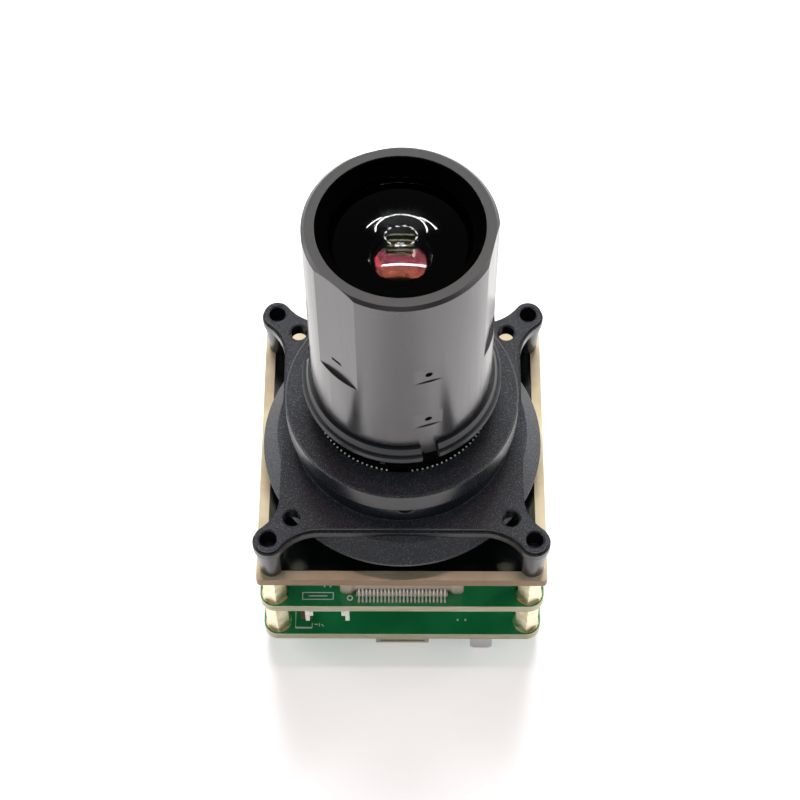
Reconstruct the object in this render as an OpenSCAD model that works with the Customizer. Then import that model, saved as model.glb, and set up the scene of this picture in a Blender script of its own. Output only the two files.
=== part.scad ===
// Board camera: a long wide-angle lens in a moulded holder on a stack of three square circuit boards.
// Millimetres. +Z is the way the lens looks, the front edge of the boards faces -Y,
// and the origin is on the optical axis in the plane that the lowest connectors stand on.

/* [Boards] */
// Side of the square boards
board_w = 38; // [36:0.5:44]
// Thickness of each board
board_t = 1.6; // [1:0.1:2]
// Corner radius of the interface and base boards
board_corner_r = 2; // [0.5:0.1:3]
// Corner radius of the sensor board
sensor_corner_r = 0.5; // [0.2:0.1:1.5]
// Distance of the corner fixings from the edges of the board
fixing_inset = 2; // [1.8:0.05:2.4]

/* [Stack] */
// Height of the connectors below the base board
foot_h = 3; // [2.6:0.1:4]
// Gap between the base and interface boards
lower_gap = 7.5; // [6.5:0.1:9]
// Gap between the interface and sensor boards
upper_gap = 6.5; // [5.8:0.1:8]
// Height of the holder legs above the sensor board
leg_h = 6.1; // [5.8:0.1:8]

/* [Holder] */
// Distance of the plate's sides inside the edges of the boards
plate_inset = 3.2; // [2.8:0.1:3.6]
// Thickness of the plate
plate_t = 2; // [1.6:0.1:3]
// Height of the stepped lip along the top edge of the plate
lip_h = 0.8; // [0.4:0.1:1.2]
// Inset of that lip
lip_inset = 0.25; // [0.1:0.05:0.5]
// Radius of the ears round the corner fixings
ear_r = 2.05; // [1.9:0.05:2.3]
// Radius of the hollow blend from the plate's side to the ear
ear_blend_r = 6; // [4.5:0.1:7]
// Radius of the holes in the ears and in the plate
plate_hole_r = 1.1; // [0.9:0.05:1.2]
// Spacing of the inner holes in the plate, hole to hole
inner_span = 28; // [27.4:0.1:28.6]
// Depth of the screw holes in the ears
ear_hole_depth = 3.2; // [2.8:0.1:3.6]
// Radius of a leg under its ear
leg_top_r = 1.85; // [1.6:0.05:1.9]
// Radius of a leg where it stands on the sensor board
leg_foot_r = 1.5; // [1.35:0.05:1.6]
// Wall of the boss outside its bore, at the collar
collar_wall = 3.8; // [3.2:0.1:4.2]
// Height of the top of the boss above the plate
boss_h = 7.6; // [6.5:0.1:9]
// Height of the recessed neck below the collar
neck_h = 4; // [3.4:0.1:4.8]
// Depth of the recessed neck below the collar
neck_depth = 0.7; // [0.5:0.05:1.2]
// How much narrower the skirt is at its top, under the plate
skirt_taper = 1.95; // [1.4:0.05:2.2]
// Distance of the skirt's lower rim inside the edges of the boards
skirt_inset = 0.55; // [0.5:0.05:1]
// Depth of the skirt below the plate
skirt_h = 3.05; // [2.6:0.05:3.4]
// Wall thickness inside the cored skirt
skirt_wall = 1.2; // [0.9:0.1:1.5]
// Number of ribs in the cored skirt
skirt_ribs = 12; // [6:1:16]
// Thickness of the ribs
rib_t = 0.9; // [0.6:0.1:1.4]
// Inner radius of the light shield round the sensor
shield_bore_r = 9.8; // [9.5:0.1:10.2]
// Wall of that shield
shield_wall = 1.8; // [1.5:0.1:2]
// Thickness of the foam gasket under the shield
gasket_t = 0.6; // [0.4:0.1:1]
// Radius of the lock screw in the neck
lock_screw_r = 1; // [0.8:0.05:1.2]
// Length of the lock screw
lock_screw_l = 2.4; // [2:0.1:2.8]
// Direction of the lock screw, in degrees from the front edge
lock_screw_turn = 2; // [-10:1:10]

/* [Lens] */
// Radius of the barrel
barrel_r = 11.3; // [11.2:0.05:11.8]
// Height of the front rim of the lens above the plate
lens_h = 45; // [43:0.5:50]
// Bevel round the outer edge of the front rim
rim_bevel = 0.4; // [0.2:0.05:0.5]
// Height of the lower edge of the barrel above the plate
barrel_foot_h = 14; // [13:0.1:15]
// Radius of the threaded lower half of the barrel
thread_r = 11.05; // [10.8:0.05:11.1]
// Depth of the threaded part below the top of the plate
thread_depth = 1.8; // [1:0.1:2.2]
// Angle that the lens has turned to in its thread
lens_turn = 17.3; // [0:0.1:60]
// Height of the ledge at the foot of the three flats
flat_foot_h = 25.5; // [24:0.1:28]
// Half of the angle that each flat takes from the barrel
flat_half_angle = 15.8; // [12:0.1:18]
// Width of the key tabs at the foot of the barrel
key_w = 1.95; // [1.4:0.05:2.4]
// Length of the key tabs
key_h = 1.9; // [1.2:0.1:2.2]
// Radius of the vent holes in the barrel wall
vent_r = 0.45; // [0.3:0.05:0.6]
// Wall of the lock ring outside its thread
ring_wall = 1.45; // [1.2:0.05:1.6]
// Height of the lock ring
ring_h = 2.7; // [2.4:0.1:3]
// Radius of the front recess of the barrel
hood_bore_r = 9.75; // [9.5:0.05:10]
// Depth from the front rim to the mouth of the hood ring
hood_depth = 2.1; // [1.9:0.05:2.6]
// Radius of the mouth of the hood ring, where the glass shows
hood_mouth_r = 8.3; // [8:0.05:8.5]
// Radius of the bore that holds the lens elements
cell_r = 8.5; // [8.2:0.1:8.7]
// Radius of the front element
front_r = 8.9; // [8.7:0.05:9]
// Curve radius of its outer face
front_curve_r = 20; // [18:0.5:30]
// Depth from the mouth of the hood to the seat of the front element
front_seat_depth = 5.3; // [4.8:0.1:6]
// Clear radius of the black seat behind the front element
seat_mouth_r = 3.35; // [3.1:0.05:3.6]
// Curve radius of the hollow face behind it
front_hollow_r = 4.2; // [4:0.1:6]

/* [Connectors] */
// Contacts in one row of the sensor connector
sensor_contacts = 24; // [16:1:25]
// Contacts in one row of each lower connector
link_contacts = 20; // [12:1:25]
// Pitch of the contacts
contact_pitch = 0.5; // [0.45:0.05:0.55]
// Length of a housing beyond its contacts, at both ends together
housing_extra = 5.1; // [4:0.1:6]
// Depth of a housing from front to back
housing_d = 4.6; // [4.2:0.1:5]
// Width of one contact
contact_w = 0.22; // [0.16:0.02:0.3]
// Thickness of the contact strip
contact_t = 0.15; // [0.1:0.05:0.2]
// Distance from the front edge of the board to the tips of the contacts
contact_margin = 0.65; // [0.5:0.05:1.2]

/* [Spacers] */
// Width across flats of the hexagonal standoffs
hex_af = 3; // [2.8:0.05:3.2]
// Radius of their studs and of the fixing screws
stud_r = 0.8; // [0.7:0.05:0.85]
// Length of a stud beyond the board that it passes through
stud_l = 2.6; // [2:0.1:2.8]

/* [Hidden] */
// Radial clearance of a bore round what goes into it
clear = 0.05;
// Gap between the plain cylinders that stand for the lens thread
thread_gap = 0.15;
$fn = 96;

base_z = foot_h;
base_top = base_z + board_t;
iface_z = base_top + lower_gap;
iface_top = iface_z + board_t;
sensor_z = iface_top + upper_gap;
sensor_top = sensor_z + board_t;
plate_z = sensor_top + leg_h;
plate_top = plate_z + plate_t;
skirt_z = plate_z - skirt_h;
skirt_r = board_w / 2 - skirt_inset;
skirt_top_r = skirt_r - skirt_taper;
shield_z = sensor_top + gasket_t;

fixing = board_w / 2 - fixing_inset;
front_y = -board_w / 2;
corners = [[-1, -1], [1, -1], [1, 1], [-1, 1]];
stud_hole_r = stud_r + 0.1;
hex_chamfer = 0.35;

// Lens levels, measured up from the top of the plate
rim_z = plate_top + lens_h;
barrel_z = plate_top + barrel_foot_h;
thread_z = plate_top - thread_depth;
ring_z = barrel_z - clear - ring_h;
ring_r = thread_r + clear + ring_wall;
mouth_z = rim_z - hood_depth;
holder_bore_r = thread_r + thread_gap;
collar_r = holder_bore_r + collar_wall;
neck_r = collar_r - neck_depth;
shield_r = shield_bore_r + shield_wall;
holder_floor_z = thread_z - 0.4;
web_t = 1.1;
filter_w = 11.4;
filter_t = 0.3;
filter_seat_r = 8.2;
filter_z = holder_floor_z - web_t - filter_t;

// Element stack, from the floor of the cell up to the hood
element_r = cell_r - clear;
cell_floor_z = thread_z + 1;
rear_t = 2.4;
field_t = 2.6;
doublet_rear_t = 2.6;
doublet_front_t = 2.2;
stop_t = 0.4;
second_t = 2.6;
seal_t = 0.8;
field_h = 8.5;
doublet_h = 17;
stop_r = 2.4;
retainer_r = 6.4;
spacer_wall = 1;
// Depth at which a hollow face starts, and the curve radii of the faces
hollow_depth = 1;
second_top_r = 9;
second_bottom_r = 7;
doublet_joint_r = 18;
doublet_rise = 1.1;
doublet_back_r = 22;
field_top_r = 30;
field_bottom_r = 20;
rear_top_r = 24;
rear_bottom_r = 40;
retainer_t = 1.2;
rear_element_z = cell_floor_z + retainer_t;
rear_spacer_z = rear_element_z + rear_t;
field_z = plate_top + field_h;
middle_spacer_z = field_z + field_t;
doublet_rear_z = plate_top + doublet_h;
doublet_front_z = doublet_rear_z + doublet_rear_t;
stop_z = doublet_front_z + doublet_front_t;
front_spacer_z = stop_z + stop_t;
front_curve_z = mouth_z - clear - sqrt(pow(front_curve_r, 2) - pow(hood_mouth_r, 2));
front_seat_z = mouth_z - front_seat_depth;
front_hollow_z = front_seat_z - sqrt(pow(front_hollow_r, 2) - pow(seat_mouth_r, 2));
second_z = front_seat_z - seal_t - second_t;
hood_seat_z = front_seat_z;

// ---------------------------------------------------------------- shared forms

// A round bar or disc between two heights
module disc(r, z0, z1) {
    translate([0, 0, z0]) cylinder(r = r, h = z1 - z0);
}

// A tube between two heights
module tube(r_out, r_in, z0, z1) {
    difference() {
        disc(r_out, z0, z1);
        disc(r_in, z0 - 1, z1 + 1);
    }
}

// A block centred on x and y that stands on z
module block(w, d, h, at = [0, 0, 0]) {
    translate([at[0] - w / 2, at[1] - d / 2, at[2]]) cube([w, d, h]);
}

// A rounded square, for a board outline
module rounded_square(w, d, r) {
    union() {
        square([w - 2 * r, d], center = true);
        square([w, d - 2 * r], center = true);
        for (c = corners) translate([c[0] * (w / 2 - r), c[1] * (d / 2 - r)]) circle(r = r);
    }
}

// A square board with a hole for a stud in each corner
module board(z, r) {
    difference() {
        translate([0, 0, z]) linear_extrude(board_t) rounded_square(board_w, board_w, r);
        at_corners(fixing) disc(stud_hole_r, z - 1, z + board_t + 1);
    }
}

// Puts its children at the four corners of a square
module at_corners(half) {
    for (c = corners) translate([c[0] * half, c[1] * half, 0]) children();
}

// Repeats its children three times round the lens, which has turned with its thread
module around_lens(first) {
    for (k = [0:2]) rotate([0, 0, lens_turn - 90 + first + 120 * k]) children();
}

// ---------------------------------------------------------------- lens

module lens_barrel() {
    flat_x = barrel_r * cos(flat_half_angle);
    flat_foot = plate_top + flat_foot_h;
    facet_x = barrel_r - 0.14;
    facet_h = 3;
    edge = 0.15;
    color("dimgray") difference() {
        union() {
            rotate_extrude() polygon([
                [cell_r - 1.2, thread_z], [thread_r - 0.3, thread_z], [thread_r, thread_z + 0.3],
                [thread_r, barrel_z], [barrel_r - edge, barrel_z], [barrel_r, barrel_z + edge],
                [barrel_r, rim_z - rim_bevel], [barrel_r - rim_bevel, rim_z], [cell_r - 1.2, rim_z]
            ]);
            around_lens(0) key_tab();
        }
        // front recess for the hood, bore for the elements, and the opening behind them
        disc(hood_bore_r, hood_seat_z, rim_z + 1);
        disc(cell_r, cell_floor_z, hood_seat_z + 1);
        // three flats from the rim down to a ledge, each with a gate mark above the ledge
        around_lens(60) {
            translate([flat_x, -barrel_r, flat_foot]) cube([barrel_r, 2 * barrel_r, lens_h]);
            translate([flat_x - 0.4, -1, flat_foot + 2.6]) cube([2, 1.5, 0.5]);
        }
        // vent holes in shallow facets
        for (h = [flat_foot_h - 7.2, flat_foot_h + 3.1]) around_lens(0) {
            translate([facet_x, -barrel_r, plate_top + h]) cube([barrel_r, 2 * barrel_r, facet_h]);
            translate([barrel_r - 0.8, 0, plate_top + h + 1.5]) rotate([0, 90, 0])
                cylinder(r = vent_r, h = 2, $fn = 24);
        }
    }
}

// A tab below the barrel that sits in a notch of the lock ring
module key_tab() {
    intersection() {
        translate([thread_r - 0.6, -key_w / 2, barrel_z - key_h]) cube([2, key_w, key_h + 0.6]);
        disc(barrel_r, barrel_z - key_h - 1, barrel_z + 1);
    }
}

// Notched ring that is screwed up under the barrel
module lock_ring() {
    color("dimgray") difference() {
        union() {
            rotate_extrude() polygon([
                [thread_r + clear, ring_z], [ring_r - 0.4, ring_z], [ring_r - 0.4, ring_z + 0.8],
                [ring_r, ring_z + 0.8], [ring_r, ring_z + 1.65], [ring_r - 0.15, ring_z + 1.8],
                [ring_r - 0.4, ring_z + 1.8], [ring_r - 0.5, ring_z + 2.1],
                [ring_r - 0.8, ring_z + ring_h], [thread_r + clear, ring_z + ring_h]
            ]);
            // gate stub under the rim
            rotate([0, 0, lens_turn - 118]) translate([ring_r - 0.7, -0.3, ring_z + 0.1])
                cube([0.65, 0.6, 0.9]);
        }
        around_lens(0) translate([0, -(key_w / 2 + 0.12), ring_z - 1])
            cube([2 * ring_r, key_w + 0.24, ring_h + 2]);
    }
}

// A lens element between two heights, with a sphere cut into or out of each face.
// A curve radius above zero bulges and one below zero is hollow.
module element(z0, z1, r_top, r_bottom) {
    difference() {
        intersection() {
            disc(element_r, z0, z1);
            if (r_top > 0) translate([0, 0, z1 - r_top]) sphere(r = r_top);
            if (r_bottom > 0) translate([0, 0, z0 + r_bottom]) sphere(r = r_bottom);
        }
        if (r_top < 0) translate([0, 0, z1 - hollow_depth - r_top]) sphere(r = -r_top);
        if (r_bottom < 0) translate([0, 0, z0 + hollow_depth + r_bottom]) sphere(r = -r_bottom);
    }
}

// Black ring that holds the front element, with a conical mouth
module hood_ring() {
    outer = hood_bore_r - clear;
    lip = 0.15;
    color("black") difference() {
        disc(outer, hood_seat_z, rim_z - lip);
        translate([0, 0, mouth_z]) cylinder(r1 = hood_mouth_r, r2 = outer - lip, h = hood_depth - lip / 2);
        disc(hood_mouth_r, hood_seat_z - 1, mouth_z + clear);
        // pocket for the front element
        intersection() {
            disc(front_r + clear, hood_seat_z - 1, mouth_z);
            translate([0, 0, front_curve_z]) sphere(r = front_curve_r + clear);
        }
    }
}

module front_element() {
    color("lightcyan", 0.5) difference() {
        intersection() {
            disc(front_r, front_seat_z, mouth_z + 3);
            translate([0, 0, front_curve_z]) sphere(r = front_curve_r);
        }
        translate([0, 0, front_hollow_z]) sphere(r = front_hollow_r);
    }
}

// Black seat behind the hood and the front element
module front_seal() {
    color("black") tube(element_r, seat_mouth_r, front_seat_z - seal_t, front_seat_z);
}

module second_element() {
    color("lightcyan", 0.5) element(second_z, second_z + second_t, -second_top_r, -second_bottom_r);
}

module front_spacer() {
    color("black") tube(element_r, element_r - spacer_wall, front_spacer_z, second_z);
}

module aperture_stop() {
    color("black") tube(element_r, stop_r, stop_z, stop_z + stop_t);
}

module doublet_front() {
    color("lightcyan", 0.5) difference() {
        disc(element_r, doublet_front_z, stop_z);
        translate([0, 0, doublet_front_z + doublet_rise - doublet_joint_r])
            sphere(r = doublet_joint_r);
    }
}

module doublet_rear() {
    color("lightblue", 0.5) difference() {
        union() {
            disc(element_r, doublet_rear_z, doublet_front_z);
            intersection() {
                disc(element_r, doublet_front_z, stop_z);
                translate([0, 0, doublet_front_z + doublet_rise - doublet_joint_r])
            sphere(r = doublet_joint_r);
            }
        }
        translate([0, 0, doublet_rear_z + hollow_depth - doublet_back_r]) sphere(r = doublet_back_r);
    }
}

module middle_spacer() {
    color("black") tube(element_r, element_r - spacer_wall, middle_spacer_z, doublet_rear_z);
}

module field_element() {
    color("lightcyan", 0.5) element(field_z, middle_spacer_z, -field_top_r, -field_bottom_r);
}

module rear_spacer() {
    color("black") tube(element_r, element_r - spacer_wall, rear_spacer_z, field_z);
}

module rear_element() {
    color("lightcyan", 0.5) element(rear_element_z, rear_spacer_z, -rear_top_r, -rear_bottom_r);
}

module rear_retainer() {
    color("black") tube(element_r, retainer_r, cell_floor_z, rear_element_z);
}

// ---------------------------------------------------------------- holder

// Outline of the plate with its four ears, drawn in or out by grow
module plate_outline(grow) {
    half = board_w / 2 - plate_inset;
    reach = half + ear_blend_r;
    // where the blend leaves the side of the plate, so that it also touches the ear
    start = fixing - sqrt(pow(ear_blend_r + ear_r, 2) - pow(reach - fixing, 2));
    side = half + grow;
    square(2 * side, center = true);
    for (a = [0:90:270]) rotate(a) {
        translate([fixing, fixing]) circle(r = ear_r + grow, $fn = 48);
        difference() {
            polygon([[start, start], [start, reach], [fixing, fixing], [reach, start]]);
            translate([start, reach]) circle(r = ear_blend_r - grow);
            translate([reach, start]) circle(r = ear_blend_r - grow);
        }
    }
}

// The same outline, open in the middle for the boss
module plate_ring(grow) {
    difference() {
        plate_outline(grow);
        circle(r = (holder_bore_r + neck_r) / 2);
    }
}

// One moulding: plate with ears and legs, boss for the lens, cored skirt and light shield
module lens_holder() {
    color("#33373f") difference() {
        union() {
            translate([0, 0, plate_z]) linear_extrude(plate_t - lip_h) plate_ring(0);
            translate([0, 0, plate_top - lip_h]) linear_extrude(lip_h) plate_ring(-lip_inset);
            at_corners(fixing) translate([0, 0, sensor_top])
                cylinder(r1 = leg_foot_r, r2 = leg_top_r, h = leg_h + 0.2, $fn = 48);
            holder_round();
            skirt_rib_set();
        }
        at_corners(fixing) {
            screw_hole(plate_top - ear_hole_depth);
            disc(stud_r + clear, sensor_top - 1, sensor_top + stud_l + 0.3, $fn = 32);
        }
        at_corners(inner_span / 2) screw_hole(plate_z - 1);
        lock_screw_place() translate([0, 0, -1]) cylinder(r = lock_screw_r + clear, h = 8, $fn = 32);
    }
}

// Everything on the holder that is turned about the optical axis
module holder_round() {
    edge = 0.25;
    rotate_extrude() polygon([
        // boss: bore, top, collar, recessed neck
        [holder_bore_r, holder_floor_z], [holder_bore_r, plate_top + boss_h - 0.3],
        [holder_bore_r + 0.3, plate_top + boss_h], [collar_r - edge, plate_top + boss_h],
        [collar_r, plate_top + boss_h - edge], [collar_r, plate_top + neck_h], [neck_r, plate_top + neck_h],
        // skirt: root under the plate, cone, lower rim and cored underside
        [neck_r, plate_top - plate_t / 2], [skirt_top_r, plate_z], [skirt_r, skirt_z + 0.4],
        [skirt_r, skirt_z], [skirt_r - skirt_wall, skirt_z],
        [skirt_top_r - skirt_wall, plate_z - 0.6], [shield_r, plate_z - 0.6],
        // light shield, filter seat and web
        [shield_r, shield_z], [shield_bore_r, shield_z], [shield_bore_r, filter_z - 0.8],
        [filter_seat_r, filter_z - 0.8], [filter_seat_r, filter_z + filter_t],
        [6.2, filter_z + filter_t], [6.2, holder_floor_z]
    ]);
}

// Ribs between the light shield and the rim of the skirt
module skirt_rib_set() {
    intersection() {
        for (k = [0:skirt_ribs - 1]) rotate([0, 0, 360 / skirt_ribs * (k + 0.5)])
            translate([shield_r - 0.3, -rib_t / 2, skirt_z])
                cube([skirt_r - shield_r - 0.2, rib_t, skirt_h]);
        translate([0, 0, skirt_z]) cylinder(r1 = skirt_r, r2 = skirt_top_r, h = skirt_h);
    }
}

// A screw hole with a chamfered mouth in the top of the plate
module screw_hole(z) {
    disc(plate_hole_r, z, plate_top + 1, $fn = 40);
    translate([0, 0, plate_top - 0.2])
        cylinder(r1 = plate_hole_r, r2 = plate_hole_r + 0.25, h = 0.25, $fn = 40);
}

// Frame of the lock screw: local +Z runs outwards through the neck
lock_screw_z = plate_top + neck_h / 2 + 0.9;
module lock_screw_place() {
    rotate([0, 0, lock_screw_turn]) translate([0, -thread_r, lock_screw_z]) rotate([90, 0, 0])
        children();
}

// Socket-headed grub screw that locks the lens
module lock_screw() {
    color("gray") lock_screw_place() difference() {
        cylinder(r = lock_screw_r, h = lock_screw_l, $fn = 32);
        translate([0, 0, lock_screw_l - 1]) cylinder(r = 0.52, h = 2, $fn = 6);
    }
}

module ir_filter() {
    color("paleturquoise", 0.5) block(filter_w, filter_w, filter_t, [0, 0, filter_z]);
}

module dust_gasket() {
    color("#202020") tube(shield_r, shield_bore_r, sensor_top, shield_z);
}

// ---------------------------------------------------------------- sensor board

sensor_w = 13;
sensor_d = 11;
sensor_h = 1.3;
sensor_well = 0.7;

module sensor_board() {
    color("#1c1f1d") board(sensor_z, sensor_corner_r);
}

// Ceramic package with a well for the die and a rebate for the cover glass
module image_sensor() {
    color("#2c2c2c") difference() {
        block(sensor_w, sensor_d, sensor_h, [0, 0, sensor_top]);
        block(sensor_w - 2.6, sensor_d - 2.6, 2, [0, 0, sensor_top + sensor_h - sensor_well]);
        block(sensor_w - 1.2, sensor_d - 1.2, 1, [0, 0, sensor_top + sensor_h - 0.25]);
    }
}

module sensor_die() {
    color("darkslateblue")
        block(sensor_w - 3.4, sensor_d - 3.8, 0.3, [0, 0, sensor_top + sensor_h - sensor_well]);
}

module sensor_cover_glass() {
    color("lightcyan", 0.5)
        block(sensor_w - 1.3, sensor_d - 1.3, 0.5, [0, 0, sensor_top + sensor_h - 0.25]);
}

// A chip component lying along x, with raised end terminations
module chip_part(l, w, h, at) {
    translate(at) {
        block(l, w, h);
        for (s = [-1, 1]) block(l * 0.24, w + 0.06, h + 0.04, [s * (l / 2 - l * 0.12), 0, 0]);
    }
}

module sensor_capacitors() {
    sensor_cap_x = (shield_r + skirt_r) / 2 - 1.6;
    color("tan") {
        for (s = [-1, 1], k = [0:3])
            chip_part(1, 0.5, 0.5, [s * (sensor_cap_x + 1.3 * (k % 2)), 3.2 * k - 4.6, sensor_top]);
        for (k = [0:5]) chip_part(1, 0.5, 0.5, [2.4 * k - 6, board_w / 2 - 3.4, sensor_top]);
    }
}

// ---------------------------------------------------------------- connectors

// Length of a housing that holds n contacts in a row
function housing_l(n) = (n - 1) * contact_pitch + housing_extra;

// Places of the three board connectors, front to back
contact_reach = 1.15;
sensor_conn_y = front_y + contact_margin + contact_reach + housing_d / 2;
link_conn_y = -sensor_conn_y;
output_conn_y = board_w / 2 - 7.6;
cavity_w = 2.6;
cavity_depth = 2.2;
tongue_gap = 0.1;
socket_h = 3.4;
// Half depth of a housing between its end blocks, where the contacts come out
housing_side = housing_d / 2 - 0.3;

// Housing that stands on z, open at the top, with rounded end blocks
module socket_housing(n, h) {
    l = housing_l(n);
    end_l = 1.9;
    difference() {
        linear_extrude(h) union() {
            square([l - end_l, 2 * housing_side], center = true);
            for (s = [-1, 1]) translate([s * (l - end_l) / 2, 0]) rounded_square(end_l, housing_d, 0.7);
        }
        block(l - 2 * end_l + 0.4, cavity_w, h, [0, 0, h - cavity_depth]);
        // relief along both long sides, over the contact feet
        for (s = [-1, 1]) translate([0, s * (housing_d / 2 + 0.15), -1])
            block(l - 2 * end_l, 1.2, 1.5);
    }
}

// Housing with a tongue that goes into the socket's cavity
module plug_housing(n, h, tongue) {
    l = housing_l(n);
    block(l - 0.6, 2 * housing_side, h);
    block(l - 3.4 - 2 * tongue_gap, cavity_w - 2 * tongue_gap, tongue, [0, 0, h]);
}

// Both rows of bent contacts of a connector, with their feet on z = 0
module contact_rows(n) {
    face = housing_side;
    tip = housing_d / 2 + contact_reach;
    heel = tip - 0.75;
    rise = 1.05;
    for (s = [0, 1], k = [0:n - 1])
        rotate([0, 0, 180 * s]) translate([(k - (n - 1) / 2) * contact_pitch - contact_w / 2, 0, 0])
            rotate([90, 0, 90]) linear_extrude(contact_w) polygon([
                [tip, 0], [tip, contact_t], [heel, contact_t], [face + 0.25, rise], [face, rise],
                [face, rise - contact_t], [face + 0.17, rise - contact_t], [heel - 0.08, 0]
            ]);
}

// Turns its children over, so that they hang below z
module hung_from(at) {
    translate(at) mirror([0, 0, 1]) children();
}

plug_h = upper_gap - socket_h;
link_plug_h = lower_gap - socket_h;

module sensor_plug() {
    color("#cdbfae") hung_from([0, sensor_conn_y, sensor_z])
        plug_housing(sensor_contacts, plug_h, cavity_depth - 0.2);
}

module sensor_plug_contacts() {
    color("gold") hung_from([0, sensor_conn_y, sensor_z]) contact_rows(sensor_contacts);
}

module sensor_socket() {
    color("#cdbfae") translate([0, sensor_conn_y, iface_top]) socket_housing(sensor_contacts, socket_h);
}

module sensor_socket_contacts() {
    color("gold") translate([0, sensor_conn_y, iface_top]) contact_rows(sensor_contacts);
}

module link_plug() {
    color("#cdbfae") hung_from([0, link_conn_y, iface_z])
        plug_housing(link_contacts, link_plug_h, cavity_depth - 0.2);
}

module link_plug_contacts() {
    color("gold") hung_from([0, link_conn_y, iface_z]) contact_rows(link_contacts);
}

module link_socket() {
    color("#cdbfae") translate([0, link_conn_y, base_top]) socket_housing(link_contacts, socket_h);
}

module link_socket_contacts() {
    color("gold") translate([0, link_conn_y, base_top]) contact_rows(link_contacts);
}

// Two sockets under the base board, which the module also stands on
module output_connectors() {
    color("#2a2a2c") for (s = [-1, 1]) hung_from([0, s * output_conn_y, base_z])
        socket_housing(link_contacts, foot_h);
}

module output_contacts() {
    color("gold") for (s = [-1, 1]) hung_from([0, s * output_conn_y, base_z]) contact_rows(link_contacts);
}

// ---------------------------------------------------------------- standoffs and screws

// Hexagonal standoff with chamfered ends, a stud on top and a threaded bore below
module standoff(h, turn, stud) {
    bore = stud_l + 0.4;
    difference() {
        union() {
            intersection() {
                rotate([0, 0, turn]) cylinder(r = hex_af / 2 / cos(30), h = h, $fn = 6);
                rotate_extrude() polygon([
                    [0, 0], [hex_af / 2 - 0.05, 0], [hex_af / 2 + hex_chamfer, hex_chamfer],
                    [hex_af / 2 + hex_chamfer, h - hex_chamfer], [hex_af / 2 - 0.05, h], [0, h]
                ]);
            }
            translate([0, 0, h - 0.1]) cylinder(r = stud_r, h = stud + 0.1, $fn = 32);
        }
        translate([0, 0, -1]) cylinder(r = stud_r + clear, h = bore + 1, $fn = 32);
    }
}

// How far each standoff happened to be turned when it was tightened
upper_turns = [38, 24, 30, 41];
lower_turns = [31, 29, 36, 25];

module upper_standoffs() {
    color("goldenrod") for (k = [0:3])
        translate([corners[k][0] * fixing, corners[k][1] * fixing, iface_top])
            standoff(upper_gap, upper_turns[k], board_t + stud_l);
}

module lower_standoffs() {
    color("goldenrod") for (k = [0:3])
        translate([corners[k][0] * fixing, corners[k][1] * fixing, base_top])
            standoff(lower_gap, lower_turns[k], board_t + stud_l);
}

// Pan-headed screws up through the base board
module fixing_screws() {
    head_r = 1.4;
    head_h = 1;
    color("silver") at_corners(fixing) translate([0, 0, base_z]) difference() {
        union() {
            translate([0, 0, -head_h]) cylinder(r1 = head_r - 0.25, r2 = head_r, h = head_h, $fn = 32);
            translate([0, 0, -0.1]) cylinder(r = stud_r, h = 0.1 + board_t + stud_l, $fn = 32);
        }
        for (a = [0, 90]) rotate([0, 0, a]) block(1.5, 0.35, 0.6, [0, 0, -head_h - 0.1]);
    }
}

// ---------------------------------------------------------------- interface board

module interface_board() {
    color("seagreen") board(iface_z, board_corner_r);
}

// Moulded chip with a pin-one dimple, standing on z
module chip(w, d, h, at) {
    translate(at) difference() {
        union() {
            block(w, d, h * 0.35);
            block(w - 0.16, d - 0.16, h);
        }
        translate([-w / 2 + 1, -d / 2 + 1, h - 0.08]) cylinder(r = 0.35, h = 1, $fn = 24);
    }
}

processor_w = 13;
module processor_chip() {
    color("#1d1e20") hung_from([0, 0.5, iface_z]) chip(processor_w, processor_w, 1.2, [0, 0, 0]);
}

module memory_chip() {
    color("#1d1e20") chip(8, 10, 1, [-8, 3.5, iface_top]);
}

// Metal can on a base, for the clock
module clock_crystal() {
    color("silver") translate([7.5, 6.5, iface_top]) {
        linear_extrude(0.3) rounded_square(5, 3.2, 0.4);
        linear_extrude(1) rounded_square(4.4, 2.6, 0.6);
    }
}

module interface_capacitors() {
    color("tan") {
        for (k = [0:5]) chip_part(1, 0.5, 0.5, [2 * k - 1, 0.5, iface_top]);
        for (k = [0:3]) chip_part(1.6, 0.8, 0.8, [3.2 * k - 12.4, board_w / 2 - 4.4, iface_top]);
        for (k = [0:3]) hung_from([2.6 * k - 3.9, processor_w / 2 + 2.1, iface_z])
            chip_part(1, 0.5, 0.5, [0, 0, 0]);
    }
}

// Bent strip that earths the interface board: a bar under the board with two shouldered legs
spring_x = -10.1;
spring_wire_r = 0.28;
module ground_spring() {
    half = 2.7;
    drop = 3.6;
    shoulder = 0.5;
    y = front_y + 0.5;
    t = 2 * spring_wire_r;
    color("whitesmoke") translate([spring_x, y, iface_z]) {
        block(2 * half + t, t, t, [0, 0, -t]);
        for (s = [-1, 1]) {
            block(t, t, drop, [s * half, 0, -drop]);
            block(shoulder, t, 1.3, [s * (half - t / 2 - shoulder / 2), 0, -drop + 1.6]);
        }
    }
}

// ---------------------------------------------------------------- base board

module base_board() {
    color("seagreen") board(base_z, board_corner_r);
}

module power_inductors() {
    color("#55524e") for (x = [-5, 5]) translate([x, 1.5, base_top]) {
        block(4, 4, 1.9);
        for (s = [-1, 1]) block(0.7, 3, 0.4, [s * 2, 0, 0]);
    }
}

module regulator_chip() {
    color("#1d1e20") chip(5, 5, 0.9, [0, -5.5, base_top]);
}

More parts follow.
